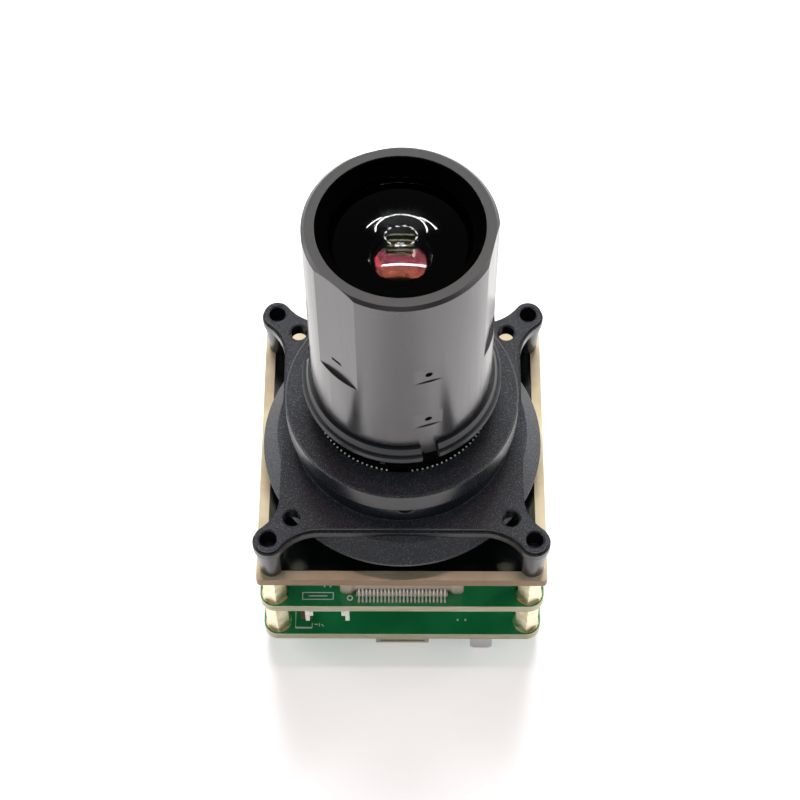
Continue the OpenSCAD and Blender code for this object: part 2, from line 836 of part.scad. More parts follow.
module base_capacitors() {
    color("tan") {
        chip_part(1.6, 0.8, 0.8, [-13.2, front_y + 2.6, base_top]);
        for (s = [-1, 1], k = [0:3])
            chip_part(1.6, 0.8, 0.8, [s * (board_w / 2 - 8), 2.2 * k - 4, base_top]);
        for (s = [-1, 1], k = [0:2]) hung_from([s * (board_w / 2 - 5.5), 2.4 * k - 2.4, base_z])
            chip_part(1.6, 0.8, 0.8, [0, 0, 0]);
    }
}

// Small white receptacle for two power wires, open below
power_x = 10.9;
power_w = 3;
power_d = 4.2;
power_back_t = 0.9;
power_wall = 0.7;
module power_receptacle() {
    color("ivory") translate([power_x, front_y + power_d / 2, base_z]) difference() {
        rotate([90, 0, 0]) linear_extrude(power_d, center = true) union() {
            translate([-power_w / 2, -foot_h + 0.9]) square([power_w, foot_h - 0.9]);
            translate([-power_w / 2 + 0.6, -foot_h]) square([power_w - 1.2, 1]);
            for (s = [-1, 1]) translate([s * (power_w / 2 - 0.9), -foot_h + 0.9]) circle(r = 0.9, $fn = 40);
        }
        // cavity, open below
        translate([-power_w / 2 + power_wall, -power_d / 2 + power_wall, -foot_h - 1])
            cube([power_w - 2 * power_wall, power_d - 2 * power_wall, foot_h + 1 - power_back_t]);
    }
}

module power_pins() {
    color("gold") for (s = [-1, 1])
        translate([power_x + s * 0.5 - 0.15, front_y + power_d / 2 - 0.15, base_z - foot_h + 0.6])
            cube([0.3, 0.3, foot_h - 0.6 - power_back_t]);
}

// Low connector for a flat cable at the front edge
flex_w = 7.3;
flex_h = 1.4;
flex_d = 3.6;
flex_floor = 0.45;
flex_slot_d = 2.1;
module flex_connector() {
    color("#26221f") translate([0, front_y + flex_d / 2 + 0.05, base_z - flex_h]) difference() {
        block(flex_w, flex_d, flex_h);
        block(flex_w - 1.2, flex_slot_d * 2, 0.5, [0, -flex_d / 2, flex_floor]);
    }
}

module flex_contacts() {
    n = 10;
    color("gold") for (k = [0:n - 1])
        translate([(k - (n - 1) / 2) * contact_pitch, front_y + 0.05, base_z - flex_h + flex_floor])
            translate([-contact_w / 2, 0.75, 0]) cube([contact_w, flex_slot_d - 0.75, contact_t]);
}

lens_barrel();
lock_ring();
hood_ring();
front_seal();
front_element();
second_element();
front_spacer();
aperture_stop();
doublet_front();
doublet_rear();
middle_spacer();
field_element();
rear_spacer();
rear_element();
rear_retainer();
lens_holder();
lock_screw();
ir_filter();
dust_gasket();
sensor_board();
image_sensor();
sensor_die();
sensor_cover_glass();
sensor_capacitors();
sensor_plug();
sensor_plug_contacts();
sensor_socket();
sensor_socket_contacts();
upper_standoffs();
interface_board();
processor_chip();
memory_chip();
clock_crystal();
interface_capacitors();
ground_spring();
link_plug();
link_plug_contacts();
link_socket();
link_socket_contacts();
lower_standoffs();
base_board();
power_inductors();
regulator_chip();
base_capacitors();
output_connectors();
output_contacts();
power_receptacle();
power_pins();
flex_connector();
flex_contacts();
fixing_screws();
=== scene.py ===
import math

import bmesh
import bpy
from mathutils import Matrix, Vector


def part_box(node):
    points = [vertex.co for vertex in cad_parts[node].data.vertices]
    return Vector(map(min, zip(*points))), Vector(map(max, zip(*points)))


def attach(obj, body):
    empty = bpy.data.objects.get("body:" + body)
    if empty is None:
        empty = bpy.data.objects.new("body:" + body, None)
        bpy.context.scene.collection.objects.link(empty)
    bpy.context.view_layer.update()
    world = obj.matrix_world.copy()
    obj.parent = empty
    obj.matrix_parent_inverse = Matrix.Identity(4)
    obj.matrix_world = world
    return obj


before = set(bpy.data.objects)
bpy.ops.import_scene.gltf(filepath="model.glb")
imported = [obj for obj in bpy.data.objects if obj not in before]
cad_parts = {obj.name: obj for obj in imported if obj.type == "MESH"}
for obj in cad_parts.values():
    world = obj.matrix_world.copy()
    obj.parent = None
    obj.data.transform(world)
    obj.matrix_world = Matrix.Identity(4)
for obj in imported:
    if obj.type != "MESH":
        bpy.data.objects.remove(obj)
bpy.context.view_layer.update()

MM = 0.001
ROOT = "root"
scene = bpy.context.scene

# ---------------------------------------------------------------- places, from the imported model


def low(node):
    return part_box(node)[0]


def high(node):
    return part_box(node)[1]


RIM_Z = high("lens_barrel").z
RING_Z = low("lock_ring").z
BORE_Z = high("lens_holder").z
SENSOR_TOP = high("sensor_board").z
SENSOR_FLOOR = low("sensor_board").z
IFACE_TOP = high("interface_board").z
IFACE_FLOOR = low("interface_board").z
BASE_TOP = high("base_board").z
BASE_FLOOR = low("base_board").z
BOARD_HALF = high("interface_board").x
FIXING = BOARD_HALF - 2 * MM

# The board connector: contacts in a row, and their spacing
CONTACTS = 24
CONTACT_PITCH = 0.5 * MM


# ---------------------------------------------------------------- materials

def colour(hex_code, alpha=1.0):
    """A linear colour from the sRGB hex value it has to the eye."""
    parts = [int(hex_code[i:i + 2], 16) / 255 for i in (1, 3, 5)]
    return [c / 12.92 if c <= 0.04045 else ((c + 0.055) / 1.055) ** 2.4 for c in parts] + [alpha]


def per_mm(size):
    """Texture scale at which one cell of a pattern is size millimetres across."""
    return 1 / (size * MM)


def add(material, kind, inputs=None, **settings):
    """Adds a node. inputs gives each socket a value, or another node's output to follow."""
    tree = material.node_tree
    node = tree.nodes.new("ShaderNode" + kind)
    for name, value in settings.items():
        setattr(node, name, value)
    for name, value in (inputs or {}).items():
        socket = node.inputs[name]
        if isinstance(value, bpy.types.NodeSocket):
            tree.links.new(value, socket)
        else:
            socket.default_value = value
    return node


def new_material(name, roughness, base="#808080", **more):
    """An empty material with one surface shader. more names further sockets of that shader."""
    material = bpy.data.materials.new(name)
    material.use_nodes = True
    material.node_tree.nodes.clear()
    sockets = {key.replace("_", " "): value for key, value in more.items()}
    surface = add(material, "BsdfPrincipled", {"Base Color": colour(base), "Roughness": roughness, **sockets})
    output = add(material, "OutputMaterial", {"Surface": surface.outputs["BSDF"]})
    return material, surface, output


def place(material):
    """Where a point lies on the part, in metres."""
    return add(material, "TexCoord").outputs["Object"]


def grain(material, size, detail=2, stretch=(1, 1, 1), seed=0.0):
    """Cloudy noise with cells of size millimetres, drawn out where stretch is below one."""
    at = add(material, "Mapping", {"Vector": place(material), "Scale": stretch, "Location": (seed, seed, seed)})
    noise = add(material, "TexNoise", {"Vector": at.outputs["Vector"], "Scale": per_mm(size), "Detail": detail})
    return noise.outputs["Fac"]


def blend(material, factor, start, end):
    """One colour turning into another with the factor."""
    mix = add(material, "Mix", {"Factor": factor}, data_type="RGBA")
    for name, value in (("A", start), ("B", end)):
        socket = [s for s in mix.inputs if s.name == name and s.type == "RGBA"][0]
        if isinstance(value, bpy.types.NodeSocket):
            material.node_tree.links.new(value, socket)
        else:
            socket.default_value = colour(value)
    return [s for s in mix.outputs if s.type == "RGBA"][0]


def spread(material, factor, low_in, high_in, low_out, high_out):
    """Rescales a factor from one range to another and stops at the ends."""
    node = add(material, "MapRange", {"Value": factor, "From Min": low_in, "From Max": high_in,
                                      "To Min": low_out, "To Max": high_out})
    return node.outputs["Result"]


def set_input(material, surface, name, value):
    material.node_tree.links.new(value, surface.inputs[name])


def emboss(material, surface, height, depth_mm, normal=None):
    """Raises the surface by a pattern, over a rounded edge where one is given."""
    inputs = {"Height": height, "Distance": depth_mm * MM}
    if normal is not None:
        inputs["Normal"] = normal
    set_input(material, surface, "Normal", add(material, "Bump", inputs).outputs["Normal"])


def facing_up(material):
    """1 on faces that look up or down, 0 on edges."""
    normal = add(material, "NewGeometry").outputs["Normal"]
    z = add(material, "SeparateXYZ", {"Vector": normal}).outputs["Z"]
    size = add(material, "Math", {0: z}, operation="ABSOLUTE").outputs[0]
    return spread(material, size, 0.6, 0.8, 0.0, 1.0)


def upward(material, low_z=0.5, high_z=0.9):
    """1 on faces that look up, 0 on walls and below."""
    normal = add(material, "NewGeometry").outputs["Normal"]
    z = add(material, "SeparateXYZ", {"Vector": normal}).outputs["Z"]
    return spread(material, z, low_z, high_z, 0.0, 1.0)


def rounded_edge(material, radius_mm):
    """Softens the sharp edges of the solid, as a mould leaves them."""
    return add(material, "Bevel", {"Radius": radius_mm * MM}, samples=6).outputs["Normal"]


def barrel_plastic():
    """Glass-filled PPS, moulded in a polished cavity: black, with faint drag lines along the draw of the
    mould. Its walls are painted a lighter grey as painted sheen; faces that look up keep the darker black."""
    material, surface, _ = new_material("glass_filled_pps_moulded", 0.3, IOR=1.75)
    drag = grain(material, 0.5, detail=2, stretch=(1, 1, 0.04))
    cloud = grain(material, 5, detail=2, seed=3.0)
    fleck = grain(material, 0.3, detail=1, seed=7.0)
    up = upward(material)
    # painted sheen: walls are coloured a lighter grey than the faces that look up
    tone = blend(material, spread(material, cloud, 0.35, 0.65, 0, 1), "#323235", "#3a3a3d")
    tone = blend(material, spread(material, fleck, 0.5, 0.8, 0, 0.15), tone, "#4c4c4e")
    set_input(material, surface, "Base Color", blend(material, up, tone, "#1b1d21"))
    shine = spread(material, drag, 0.3, 0.7, 0.18, 0.25)
    duller = spread(material, up, 0, 1, 0, 0.2)
    rough = add(material, "Math", {0: shine, 1: duller}, operation="ADD")
    set_input(material, surface, "Roughness", rough.outputs[0])
    emboss(material, surface, drag, 0.0015)
    return material


def ring_plastic():
    """Glass-filled nylon of the lock ring: darker and bluer than the barrel, satin, with its lowest step
    painted a dull black as painted shade for the dark gap under the ring."""
    material, surface, _ = new_material("glass_filled_nylon_satin", 0.35, IOR=1.53)
    edge = rounded_edge(material, 0.1)
    speck = grain(material, 0.2, detail=2)
    height = add(material, "SeparateXYZ", {"Vector": place(material)}).outputs["Z"]
    # painted shade: below 0.7-0.8 mm above the ring's lowest point the colour turns near black and the
    # roughness rises
    foot = spread(material, height, RING_Z + 0.7 * MM, RING_Z + 0.8 * MM, 1.0, 0.0)
    tone = blend(material, speck, "#14171b", "#23272d")
    set_input(material, surface, "Base Color", blend(material, foot, tone, "#010101"))
    worn = spread(material, speck, 0.3, 0.7, 0.28, 0.42)
    rough = add(material, "Math", {0: worn, 1: foot}, operation="MAXIMUM")
    set_input(material, surface, "Roughness", rough.outputs[0])
    emboss(material, surface, speck, 0.006, normal=edge)
    return material


def holder_plastic():
    """Glass-filled nylon: slate black. Faces that look up have an even grain from the spark-eroded
    mould, with its fine points of scattered light painted in as pale specks (painted glints); walls were ground
    and shine more."""
    material, surface, _ = new_material("glass_filled_nylon_spark_textured", 0.5, IOR=1.6)
    edge = rounded_edge(material, 0.22)
    up = upward(material, 0.15, 0.35)
    pits = grain(material, 0.22, detail=3)
    spark = grain(material, 0.13, detail=1, seed=9.0)
    cloud = grain(material, 5, detail=2, seed=2.0)
    tone = blend(material, spread(material, cloud, 0.35, 0.65, 0, 1), "#0a1018", "#121922")
    # painted glints: pale points on faces that look up stand in for light scattered by the spark-eroded grain
    painted_sparkle = spread(material, spark, 0.56, 0.72, 0, 0.8)
    points = add(material, "Math", {0: painted_sparkle, 1: up}, operation="MULTIPLY")
    set_input(material, surface, "Base Color", blend(material, points.outputs[0], tone, "#6c737e"))
    set_input(material, surface, "Roughness", spread(material, up, 0, 1, 0.24, 0.5))
    deeper = spread(material, up, 0, 1, 0.25, 1.0)
    depth = add(material, "Math", {0: pits, 1: deeper}, operation="MULTIPLY")
    emboss(material, surface, depth.outputs[0], 0.03, normal=edge)
    return material


def hood_black():
    """ABS painted with absorbing optical black: almost no sheen, faintly speckled."""
    material, surface, _ = new_material("abs_optical_black_paint", 0.9, "#000000", IOR=1.45,
                                        Specular_IOR_Level=0.03)
    speck = grain(material, 0.2, detail=2)
    set_input(material, surface, "Base Color", blend(material, speck, "#000000", "#020202"))
    emboss(material, surface, speck, 0.01)
    return material


def inner_black():
    """Spacers blackened by anodising: dark, with a slight gloss."""
    material, surface, _ = new_material("black_anodised_spacer", 0.35, "#0a0a0b")
    speck = grain(material, 0.3, detail=2)
    set_input(material, surface, "Base Color", blend(material, speck, "#050506", "#0e0e10"))
    emboss(material, surface, speck, 0.008)
    return material


def coated_glass(name, film_nm=0.0, film_ior=1.38, ior=1.62, tint="#ffffff", polish=0.0):
    """Polished optical glass. A film tints what it reflects, and dust leaves faint pale specks."""
    material, surface, _ = new_material(name, polish, tint, IOR=ior, Transmission_Weight=1.0,
                                        Thin_Film_Thickness=film_nm, Thin_Film_IOR=film_ior)
    dust = spread(material, grain(material, 0.6, detail=3), 0.72, 0.8, 0.0, 0.3)
    set_input(material, surface, "Base Color", blend(material, dust, tint, "#d8d8d4"))
    return material


def laminate(name, mask, mask_light, edge="#d6d1b0", glass="#bdb894"):
    """FR-4 board: glossy solder mask over copper on both faces, and a sawn edge of straw-coloured
    glass fibre and resin, striped by its layers."""
    material, surface, _ = new_material(name, 0.3, IOR=1.55)
    up = facing_up(material)
    pour = grain(material, 6, detail=1, seed=5.0)
    weave = grain(material, 0.25, detail=2, seed=1.0)
    face = blend(material, spread(material, pour, 0.4, 0.6, 0, 0.5), mask, mask_light)
    face = blend(material, spread(material, weave, 0.4, 0.8, 0, 0.2), face, mask_light)
    layers = grain(material, 0.22, detail=2, stretch=(0.06, 0.06, 1), seed=4.0)
    rim = blend(material, spread(material, layers, 0.4, 0.6, 0, 1), edge, glass)
    set_input(material, surface, "Base Color", blend(material, up, rim, face))
    set_input(material, surface, "Roughness", spread(material, up, 0, 1, 0.5, 0.2))
    emboss(material, surface, weave, 0.004)
    return material


def gold_plate():
    """Immersion gold over nickel on copper: pale and satin on the faces, with a brown routed edge
    where copper and resin show."""
    material, surface, _ = new_material("immersion_gold_plating", 0.45, "#dfc48c", Metallic=0.45)
    up = facing_up(material)
    satin = grain(material, 1.5, detail=2)
    cloud = grain(material, 4, detail=2, seed=6.0)
    tone = blend(material, spread(material, cloud, 0.3, 0.7, 0, 1), "#cfc2a0", "#e6dabc")
    set_input(material, surface, "Base Color", blend(material, up, "#8f7658", tone))
    set_input(material, surface, "Roughness", spread(material, satin, 0.3, 0.7, 0.42, 0.55))
    emboss(material, surface, satin, 0.003)
    return material


def turned_brass():
    """Free-cutting brass bar, turned and left bare: very pale, with fine tool lines round it."""
    material, surface, _ = new_material("turned_brass", 0.25, "#efdcb0", Metallic=1.0)
    lines = grain(material, 0.06, detail=2, stretch=(0.05, 0.05, 1))
    cloud = grain(material, 1.2, detail=2, seed=2.0)
    tone = blend(material, spread(material, cloud, 0.35, 0.65, 0, 1), "#ecd9b0", "#fbf2d8")
    set_input(material, surface, "Base Color", tone)
    set_input(material, surface, "Roughness", spread(material, lines, 0.3, 0.7, 0.25, 0.4))
    emboss(material, surface, lines, 0.002)
    return material


def metal(name, base, light, low_rough, high_rough, size=0.2, metallic=1.0):
    """Plated or drawn metal with a faint grain."""
    material, surface, _ = new_material(name, low_rough, base, Metallic=metallic)
    speck = grain(material, size, detail=2)
    set_input(material, surface, "Base Color", blend(material, speck, base, light))
    set_input(material, surface, "Roughness", spread(material, speck, 0.3, 0.7, low_rough, high_rough))
    emboss(material, surface, speck, 0.004)
    return material


def moulded(name, base, light, low_rough, high_rough, size=0.12, depth=0.008):
    """Small moulded or pressed body with a fine matte grain."""
    material, surface, _ = new_material(name, low_rough, base, IOR=1.5)
    speck = grain(material, size, detail=2)
    set_input(material, surface, "Base Color", blend(material, speck, base, light))
    set_input(material, surface, "Roughness", spread(material, speck, 0.3, 0.7, low_rough, high_rough))
    emboss(material, surface, speck, depth)
    return material


BARREL = barrel_plastic()
RING = ring_plastic()
HOLDER = holder_plastic()
HOOD = hood_black()
SPACER = inner_black()
FRONT_GLASS = coated_glass("crown_glass_polished", ior=1.52, tint="#b8b8b8", polish=0.04)
GREEN_FILM = coated_glass("crown_glass_green_coating", 391, ior=1.6, polish=0.045)
ROSE_FILM = coated_glass("flint_glass_rose_coating", 285, ior=1.75, polish=0.045)
CLEAR_GLASS = coated_glass("filter_glass_blue_coating", 120, ior=1.52)
GREEN_BOARD = laminate("fr4_green_solder_mask", "#1f8a52", "#2f9f64")
GOLD = gold_plate()
BRASS = turned_brass()
TIN = metal("matte_tin_plating", "#ecece6", "#fbfbf6", 0.3, 0.5, metallic=0.4)
STEEL = metal("blackened_steel_screw", "#5c5c5e", "#77777a", 0.3, 0.45)
CAN = metal("nickel_plated_can", "#b9b7b0", "#d0cec8", 0.2, 0.35)
WIRE = metal("tinned_spring_strip", "#ecece6", "#fbfbf4", 0.25, 0.4, metallic=0.4)
LCP = moulded("liquid_crystal_polymer_beige", "#c3b3a0", "#d6c8b6", 0.45, 0.6)
LCP_BLACK = moulded("liquid_crystal_polymer_black", "#242426", "#303033", 0.4, 0.55)
LCP_IVORY = moulded("liquid_crystal_polymer_ivory", "#b8b19a", "#c8c2ac", 0.45, 0.6)
NYLON = moulded("nylon_66_natural", "#e6e5e0", "#f2f2ee", 0.4, 0.55)
EPOXY = moulded("epoxy_moulding_compound", "#1d1e20", "#2a2b2d", 0.45, 0.65)
FERRITE = moulded("pressed_ferrite", "#55524e", "#65625e", 0.6, 0.8)
CERAMIC = moulded("multilayer_ceramic", "#8a6f52", "#a18466", 0.3, 0.5)
PACKAGE = moulded("sensor_ceramic_package", "#2c2c2c", "#383838", 0.5, 0.7)
RUBBER = moulded("silicone_foam_black", "#151515", "#222222", 0.7, 0.9, size=0.3, depth=0.03)
DIE = metal("polished_silicon_die", "#3a3247", "#4a4260", 0.08, 0.15)
MASK_BLACK = moulded("black_solder_mask", "#060a0a", "#0a1010", 0.12, 0.2, size=1.5, depth=0.002)
# painted glint: near-white beads stand in for light caught on the holder's black thread crests
PAINTED_GLINT = metal("painted_glint_thread_crest", "#e0e0dc", "#fafaf6", 0.3, 0.5, metallic=0.2)
INK = moulded("white_legend_ink", "#e8eae6", "#ffffff", 0.5, 0.7)

NODE_FINISH = {
    BARREL: ["lens_barrel"],
    RING: ["lock_ring"],
    HOLDER: ["lens_holder"],
    HOOD: ["hood_ring"],
    SPACER: ["front_spacer", "aperture_stop", "middle_spacer", "rear_spacer", "rear_retainer"],
    FRONT_GLASS: ["front_element"],
    GREEN_FILM: ["doublet_front", "field_element"],
    ROSE_FILM: ["second_element", "doublet_rear", "rear_element"],
    CLEAR_GLASS: ["ir_filter", "sensor_cover_glass"],
    GREEN_BOARD: ["interface_board", "base_board"],
    GOLD: ["sensor_board"],
    BRASS: ["upper_standoffs", "lower_standoffs"],
    TIN: ["sensor_plug_contacts", "sensor_socket_contacts", "link_plug_contacts", "link_socket_contacts",
          "output_contacts", "power_pins", "flex_contacts"],
    STEEL: ["lock_screw", "fixing_screws"],
    CAN: ["clock_crystal"],
    WIRE: ["ground_spring"],
    LCP: ["sensor_plug", "sensor_socket", "link_plug", "link_socket"],
    LCP_BLACK: ["output_connectors"],
    LCP_IVORY: ["flex_connector"],
    NYLON: ["power_receptacle"],
    EPOXY: ["processor_chip", "memory_chip", "regulator_chip"],
    FERRITE: ["power_inductors"],
    CERAMIC: ["sensor_capacitors", "interface_capacitors", "base_capacitors"],
    PACKAGE: ["image_sensor"],
    RUBBER: ["front_seal", "dust_gasket"],
    DIE: ["sensor_die"],
}
for material, nodes in NODE_FINISH.items():
    for node in nodes:
        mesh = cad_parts[node].data
        mesh.materials.clear()
        mesh.materials.append(material)

# ---------------------------------------------------------------- making pieces


def finish_piece(name, bm, material, smooth=True):
    """Turns a bmesh into a piece that rides on the part."""
    bmesh.ops.recalc_face_normals(bm, faces=bm.faces)
    mesh = bpy.data.meshes.new(name)
    bm.to_mesh(mesh)
    bm.free()
    piece = bpy.data.objects.new(name, mesh)
    scene.collection.objects.link(piece)
    mesh.materials.append(material)
    for face in mesh.polygons:
        face.use_smooth = smooth
    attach(piece, ROOT)
    return piece


def raise_outline(bm, outline, z0, z1, holes=()):
    """Adds a flat layer between two heights, with round or other holes given as outlines."""
    loops = [outline, *holes]
    rings = []
    for loop in loops:
        rings.append([[bm.verts.new((x, y, z)) for x, y in loop] for z in (z0, z1)])
    for ring in rings:
        lower, upper = ring
        for i in range(len(lower)):
            j = (i + 1) % len(lower)
            bm.faces.new([lower[i], lower[j], upper[j], upper[i]])
    for level in (0, 1):
        edges = []
        for ring in rings:
            loop = ring[level]
            for i in range(len(loop)):
                edges.append(bm.edges.get([loop[i], loop[(i + 1) % len(loop)]]))
        bmesh.ops.triangle_fill(bm, use_beauty=True, use_dissolve=False, edges=edges)


def circle(x, y, r, n=32):
    return [(x + r * math.cos(math.tau * i / n), y + r * math.sin(math.tau * i / n)) for i in range(n)]


def corners(half):
    return [(sx * half, sy * half) for sx in (-1, 1) for sy in (-1, 1)]


# ---------------------------------------------------------------- sensor board: mask on gold

MASK_T = 0.03 * MM
GOLD_BORDER = 1.35 * MM


def notched_square(half, notch, radius, steps=5):
    """Square whose corners are cut back by a square notch with a rounded inside corner."""
    points = []
    inner = half - notch
    for k in range(4):
        turn = Matrix.Rotation(math.radians(90 * k), 2)
        corner = [(half, inner)]
        centre = Vector((inner + radius, inner + radius))
        for i in range(steps + 1):
            a = math.radians(270 - 90 * i / steps)
            corner.append((centre.x + radius * math.cos(a), centre.y + radius * math.sin(a)))
        corner.append((inner, half))
        points += [tuple(turn @ Vector(p)) for p in corner]
    return points


def sensor_board_mask():
    bm = bmesh.new()
    outline = notched_square(BOARD_HALF - GOLD_BORDER, notch=2 * MM, radius=0.5 * MM)
    raise_outline(bm, outline, SENSOR_TOP, SENSOR_TOP + MASK_T)
    raise_outline(bm, outline, SENSOR_FLOOR - MASK_T, SENSOR_FLOOR)
    finish_piece("sensor_board_mask", bm, MASK_BLACK, smooth=False)


sensor_board_mask()


def corner_pads():
    """Pale plated rings round the fixing holes of the green boards, on both faces. They have the
    finish of the standoffs."""
    bm = bmesh.new()
    for top, floor in ((IFACE_TOP, IFACE_FLOOR), (BASE_TOP, BASE_FLOOR)):
        for x, y in corners(FIXING):
            for z in (top, floor - MASK_T):
                raise_outline(bm, circle(x, y, 1.8 * MM), z, z + MASK_T, [circle(x, y, 0.95 * MM)])
    finish_piece("corner_pads", bm, BRASS, smooth=False)


corner_pads()


def strip(bm, x0, y0, x1, y1, width, z, t=MASK_T):
    """A printed line between two points, in millimetres."""
    a, b = Vector((x0, y0)) * MM, Vector((x1, y1)) * MM
    side = (b - a).normalized().orthogonal() * width * MM / 2
    raise_outline(bm, [tuple(a - side), tuple(b - side), tuple(b + side), tuple(a + side)], z, z + t)


def legend():
    """White legend print: a pin-one ring, part outlines and bare marks."""
    bm = bmesh.new()
    z = IFACE_TOP
    pin_one = (-6.96 * MM, -17.79 * MM)
    raise_outline(bm, circle(*pin_one, 0.42 * MM), z, z + MASK_T, [circle(*pin_one, 0.24 * MM)])
    for x in (-10.4, -9.6):
        raise_outline(bm, circle(x * MM, -16.1 * MM, 0.13 * MM, 12), z, z + MASK_T)
    # a bare part outline
    for line in ((-13.3, -17.0, -9.2, -17.0), (-13.3, -18.0, -9.2, -18.0), (-13.3, -18.06, -13.3, -16.94),
                 (-9.2, -18.06, -9.2, -16.94), (-12.5, -17.5, -10.0, -17.5)):
        strip(bm, *line, 0.13, z)
    z = BASE_TOP
    for line, width in (((-14.7, -15.7, -14.7, -18.1), 0.12), ((-14.75, -18.1, -12.4, -18.1), 0.25),
                        ((-12.4, -18.1, -12.4, -17.4), 0.12), ((-12.1, -17.6, -11.6, -17.6), 0.14),
                        ((-11.4, -17.9, -11.4, -17.4), 0.14), ((-11.1, -17.6, -10.8, -17.9), 0.14)):
        strip(bm, *line, width, z)
    for x in (7.65, 8.7):
        raise_outline(bm, circle(x * MM, -16.87 * MM, 0.16 * MM, 12), z, z + MASK_T)
    finish_piece("legend_print", bm, INK, smooth=False)


legend()


def foot_solder():
    """A fillet of solder under each contact foot in the row at the front edge."""
    bm = bmesh.new()
    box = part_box("sensor_socket_contacts")
    for row, direction in ((box[0].y, 1), (box[1].y, -1)):
        for k in range(CONTACTS):
            x = (k - (CONTACTS - 1) / 2) * CONTACT_PITCH
            heel = row + direction * 0.55 * MM
            toe = row - direction * 0.2 * MM
            made = bmesh.ops.create_uvsphere(bm, u_segments=8, v_segments=5, radius=1.0)["verts"]
            for v in made:
                v.co.x = x + v.co.x * 0.15 * MM
                v.co.y = (heel + toe) / 2 + v.co.y * abs(heel - toe) / 2
                v.co.z = IFACE_TOP + max(v.co.z, 0) * 0.16 * MM
    finish_piece("foot_solder", bm, TIN)


foot_solder()


def lens_thread():
    """Fine thread on the lower half of the lens, where it shows between the ring and the holder. It
    takes the hood's optical black finish as painted shade for the dark gap under the ring.
    """
    bm = bmesh.new()
    pitch = 0.5 * MM
    root = 11.04 * MM
    crest = 11.15 * MM
    start = RING_Z - 6.3 * MM
    end = RING_Z + 0.1 * MM
    turns = (end - start) / pitch
    n = 96
    rings = []
    for i in range(int(turns * n) + 1):
        a = math.tau * i / n
        z = start + pitch * i / n
        row = []
        for r, dz in ((root, -0.5), (crest, -0.1), (crest, 0.1), (root, 0.5)):
            row.append(bm.verts.new((r * math.cos(a), r * math.sin(a), z + dz * pitch)))
        rings.append(row)
    for a, b in zip(rings, rings[1:]):
        for j in range(3):
            bm.faces.new([a[j], b[j], b[j + 1], a[j + 1]])
    # painted shade: the thread is finished optical black so the gap under the ring reads dark
    finish_piece("lens_thread", bm, HOOD)


lens_thread()


def bore_thread_start():
    """Pale beads on the first turn of the holder's thread at the mouth of its bore, over the front arcs
    only: their pale colour is a painted glint on the black thread crests.
    """
    bm = bmesh.new()
    radius = 11.27 * MM
    step = 3.3
    for first, last in ((-162, -98), (-83, -22)):
        for k in range(int((last - first) / step) + 1):
            a = math.radians(first + step * k)
            made = bmesh.ops.create_uvsphere(bm, u_segments=8, v_segments=6, radius=0.14 * MM)["verts"]
            at = Vector((radius * math.cos(a), radius * math.sin(a), BORE_Z))
            bmesh.ops.translate(bm, verts=made, vec=at)
    finish_piece("bore_thread_start", bm, PAINTED_GLINT)


bore_thread_start()


def socket_ribs():
    """Ribs of the socket's front wall, one between each pair of contacts."""
    bm = bmesh.new()
    front = low("sensor_socket").y
    half = 0.11 * MM
    depth = 0.45 * MM
    for k in range(CONTACTS + 1):
        x = (k - CONTACTS / 2) * CONTACT_PITCH
        outline = [(x - half, front - depth), (x + half, front - depth), (x + half, front), (x - half, front)]
        raise_outline(bm, outline, IFACE_TOP + 0.25 * MM, IFACE_TOP + 0.85 * MM)
    finish_piece("socket_ribs", bm, LCP, smooth=False)


socket_ribs()

# ---------------------------------------------------------------- camera

LENS_MM = 92.44
CAMERA_AT = Vector((1.690, -133.392, 264.761)) * MM
TILT = math.radians(59.764)
YAW = math.radians(-0.829)
ROLL = math.radians(-0.595)


def set_camera():
    data = bpy.data.cameras.new("camera")
    data.lens = LENS_MM
    data.sensor_width = 36
    data.clip_start = 0.01
    camera = bpy.data.objects.new("camera", data)
    scene.collection.objects.link(camera)
    forward = Vector((math.sin(YAW) * math.cos(TILT), math.cos(YAW) * math.cos(TILT), -math.sin(TILT)))
    right = forward.cross(Vector((0, 0, 1))).normalized()
    up = right.cross(forward)
    across = math.cos(ROLL) * right + math.sin(ROLL) * up
    above = across.cross(forward)
    turn = Matrix((across, above, -forward)).transposed()
    camera.matrix_world = Matrix.Translation(CAMERA_AT) @ turn.to_4x4()
    scene.camera = camera


set_camera()

# ---------------------------------------------------------------- floor and light

FLOOR_HALF = 1.5
LENS_TOP = Vector((0, 0, RIM_Z))


